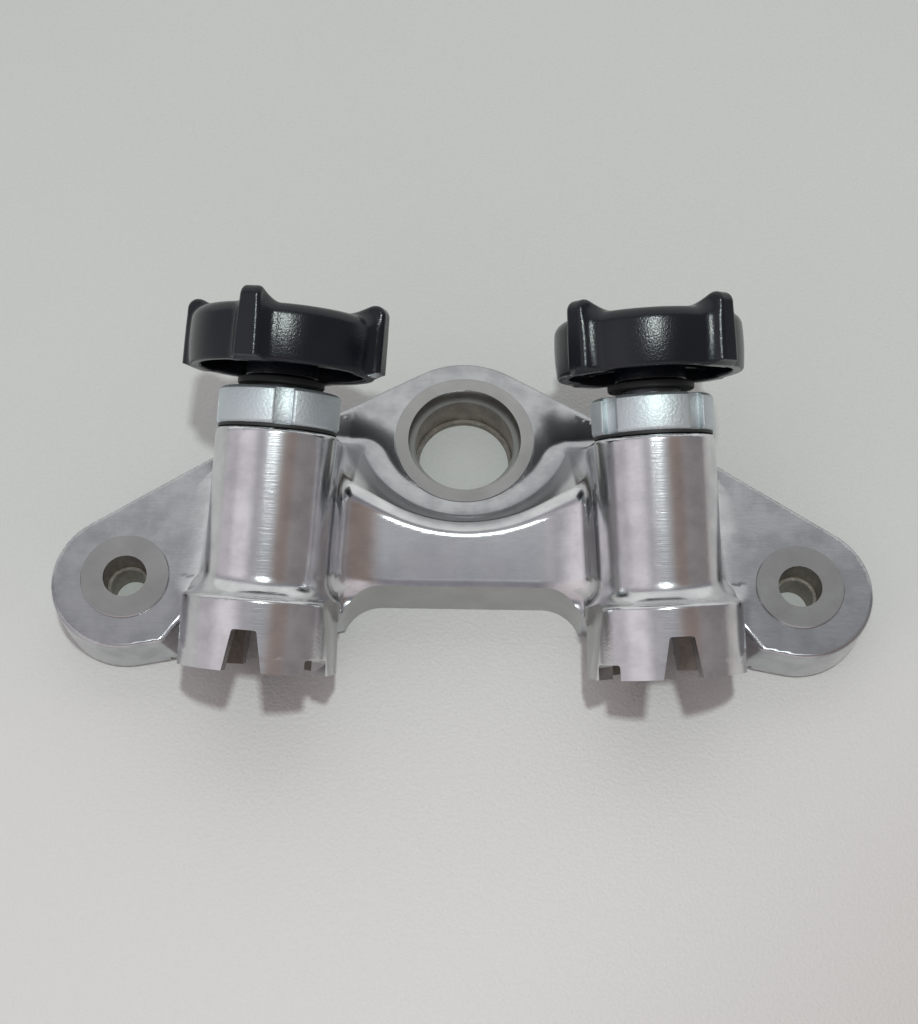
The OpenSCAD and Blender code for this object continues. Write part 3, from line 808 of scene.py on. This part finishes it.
ZINC = material("zinc plating", zinc, Metallic=1.0)
PLASTIC = material("moulded plastic", plastic, IOR=1.47)
RUBBER = material("rubber", rubber)
STEEL = material("steel", steel, Metallic=1.0)
print("materials:", len(bpy.data.materials))

# %% [markdown]
# ## Finishes on their faces
# One casting carries three finishes. Painting them by hand would have to be done again after each
# change of shape, so each face takes its finish from where it lies: on the cast surface, in a
# bore, or on a face that the mill has left.

# %% Which face gets which finish
SOCKET_REACH, STEM_REACH, FORK_REACH = (14.3, 56), (12.3, 13.7), (5.3, 14.4)


def inside_bores(at):
    """True where the distance from the axis of a socket, the stem bore or a fork bore is below
    the first reach, and the place along it below the second."""
    x = np.abs(at[:, 0])
    d = np.column_stack([x, at[:, 1], at[:, 2]]) - MOUTH
    along = d @ ALONG
    off_axis = np.hypot(d @ ACROSS, d @ ABOVE)
    socket = (off_axis < SOCKET_REACH[0]) & (along > 0.05) & (along < SOCKET_REACH[1])
    stem = (np.hypot(x, at[:, 1]) < STEM_REACH[0]) & (at[:, 2] < STEM_REACH[1])
    off_fork = np.hypot(x - FORK_AT[1][0], at[:, 1] - FORK_AT[1][1])
    return socket | stem | ((off_fork < FORK_REACH[0]) & (at[:, 2] < FORK_REACH[1]))


bored_face = inside_bores(centre) & ~cast_face
cast.data.materials.clear()
for finish in (ALUMINIUM, MACHINED, BORE):
    cast.data.materials.append(finish)
cast.data.polygons.foreach_set("material_index", np.where(cast_face, 0, np.where(bored_face, 2, 1)))
for made in knobs.values():
    made.data.materials.append(PLASTIC)
FINISH = {"body": ALUMINIUM, "knob": PLASTIC, "clamp_bolt": STEEL, "ring_nut": ZINC,
          "thrust_washer": RUBBER, "seal_washer": RUBBER, "o_ring": RUBBER,
          "stop_washer": STEEL, "retaining_ring": STEEL}
for node, made in [*frame["nodes"].items(), *turned_parts.items()]:
    made.data.materials.clear()
    made.data.materials.append(FINISH[node.split("_", 1)[1]])
print("faces: cast", int(cast_face.sum()), "bored", int(bored_face.sum()))

# %% [markdown]
# ## Table
# The part lies on a pale satin sheet. An even colour would do for the shadow, but a real sheet is
# never even: large clouds and a fine grain make it so. Its colour is also lighter in front, as a
# painted pool of light, and warmer towards the front right corner.

# %% Table
HALF_TABLE, TABLE_TOP = 900, -0.05


def laminate(place):
    """Clouds and grain between two greys, then a lighter front that is a painted pool of light,
    then a warm front corner.
    """
    cloud, grain = place.noise(0.008, 4.0), place.noise(1.1, 3.0)
    near = (-place.part(1) + 30.0 * cloud).ramp(20.0, 110.0)
    warm = (place.part(0) - place.part(1)).ramp(120.0, 260.0)
    base = (0.6 * cloud + 0.4 * grain).blend((0.625, 0.63, 0.612), (0.70, 0.695, 0.675))
    # The lighter front is painted light: a pool of light laid into the sheet's colour.
    lit = (near * 0.8).blend(base, (0.80, 0.765, 0.75))
    return {"Base Color": (warm * 0.8).blend(lit, (0.62, 0.575, 0.56)),
            "Roughness": 0.42 + 0.16 * grain, "Height": (grain, 0.5, 0.0004)}


around = [(-1, -1), (1, -1), (1, 1), (-1, 1)]
table = make_mesh("table", [[HALF_TABLE * a, HALF_TABLE * b, TABLE_TOP] for a, b in around],
                  [[0, 1, 2, 3]])
table.data.materials.append(material("pale laminate", laminate, IOR=1.45))
print("table:", 2 * HALF_TABLE, "mm square")

# %% [markdown]
# ## Light
# A small lamp nearly overhead gives the clear shadow below each socket, and a weak one from the
# front lifts the rims. Polished metal shows its surroundings more than any lamp, so the room is
# painted by direction: bright and dark strips side by side, which the barrels show as long bands.
# A picture of a room would do that too, but then no strip could be moved by a number.

# %% Lamps
def placed(columns, place):
    """A Blender matrix from three directions and a place."""
    rows = np.stack(columns, 1)
    return Matrix([[*row, t] for row, t in zip(rows, place)] + [[0, 0, 0, 1]])


def lamp(name, place, size, power, colour):
    """A rectangular soft light at place, pointed at the part, in metres and watts."""
    light = bpy.data.lights.new(name, "AREA")
    light.shape, light.size, light.size_y = "RECTANGLE", size[0], size[1]
    light.energy, light.color = power, colour
    made = bpy.data.objects.new(name, light)
    bpy.context.scene.collection.objects.link(made)
    z = np.array(place, float) / np.linalg.norm(np.array(place, float))
    x = np.cross([0, 1, 0.001], z)
    x /= np.linalg.norm(x)
    made.matrix_world = placed([x, np.cross(z, x), z], place)


lamp("ceiling lamp", (0.05, -0.13, 1.1), (0.06, 0.06), 4.25, (0.90, 1.0, 0.97))
lamp("front lamp", (-0.13, -0.25, 1.05), (0.08, 0.10), 0.13, (0.92, 0.98, 1.0))
print("lamps:", [light.name for light in bpy.data.lights])

# %% Room
room = bpy.data.worlds.new("room")
bpy.context.scene.world = room
room.use_nodes = True
tree = room.node_tree
sky = Wire(tree, tree.nodes.new("ShaderNodeTexCoord").outputs["Generated"])
sky_x, sky_y, sky_z = (sky.part(k) for k in range(3))
DEGREES = 57.3
sideways = DEGREES * sky_x.sum("ARCTAN2", sky_x, sky_z) + 5.0 * sky.noise(2.0) - 2.5
facing = 1.0 - sky_y.ramp(-0.1, 0.2)
# Angle, half width, outer width, strength and colour of each strip.
STRIPS = ((-46, 10, 26, 1.0, (0.76, 0.72, 0.75)), (-27, 4, 12, 0.2, (0.20, 0.22, 0.27)),
          (2, 6, 17, 0.9, (0.27, 0.26, 0.29)), (32, 6, 20, 1.0, (0.25, 0.195, 0.175)))

wall = (0.5 + 0.5 * sky_x).blend((0.54, 0.51, 0.54), (0.24, 0.22, 0.22))
for angle, inner, outer, strength, colour in STRIPS:
    strip = 1.0 - abs(sideways - angle).ramp(inner, outer)
    wall = (strip * facing * strength).blend(wall, colour)
behind = sky_x.ramp(-0.25, 0.25).blend((0.35, 0.34, 0.37), (0.21, 0.21, 0.23))
wall = sky_y.ramp(0.1, 0.3).blend(wall, behind)
wall = sky_y.ramp(0.35, 0.47).blend(wall, (0.76, 0.77, 0.76))
table_glow = (1.0 - sky_z.ramp(0.4, 0.8)) * (-sky_y).ramp(0.3, 0.8) * (1.0 - sky_x.ramp(0.3, 0.7))
put(tree, tree.nodes["Background"].inputs["Color"], table_glow.blend(wall, (0.74, 0.67, 0.68)))
put(tree, tree.nodes["Background"].inputs["Strength"], 1.0)
print("room:", len(STRIPS), "strips,", len(tree.nodes), "nodes")

# %% [markdown]
# ## Camera
# The camera looks down steeply from the sockets' side. It could be set by eye, but round bores
# appear as ellipses, and their shapes give the angle, the distance and the lens by calculation.

# %% Camera
ELEVATION, AZIMUTH, ROLL = math.radians(64.88), math.radians(0.67), math.radians(1.52)
AIM, DISTANCE = np.array([-1.12, -18.92, 12.0]), 402.12
FOCAL_PIXELS, FRAME_PIXELS, SENSOR = 1654.96, 1024, 36.0
forward = np.array([math.sin(AZIMUTH) * math.cos(ELEVATION),
                    math.cos(AZIMUTH) * math.cos(ELEVATION), -math.sin(ELEVATION)])
level = np.array([math.cos(AZIMUTH), -math.sin(AZIMUTH), 0.0])
upright = np.cross(level, forward)
right = math.cos(ROLL) * level + math.sin(ROLL) * upright
up = -math.sin(ROLL) * level + math.cos(ROLL) * upright
eye = (AIM - DISTANCE * forward) * MILLIMETRE
camera = bpy.data.objects.new("camera", bpy.data.cameras.new("camera"))
bpy.context.scene.collection.objects.link(camera)
bpy.context.scene.camera = camera
camera.data.sensor_width, camera.data.lens = SENSOR, FOCAL_PIXELS / FRAME_PIXELS * SENSOR
camera.data.clip_start = 0.01
camera.matrix_world = placed([right, up, -forward], eye)
bpy.context.scene.view_settings.view_transform = "Standard"
print("camera at", eye.round(3), "m")
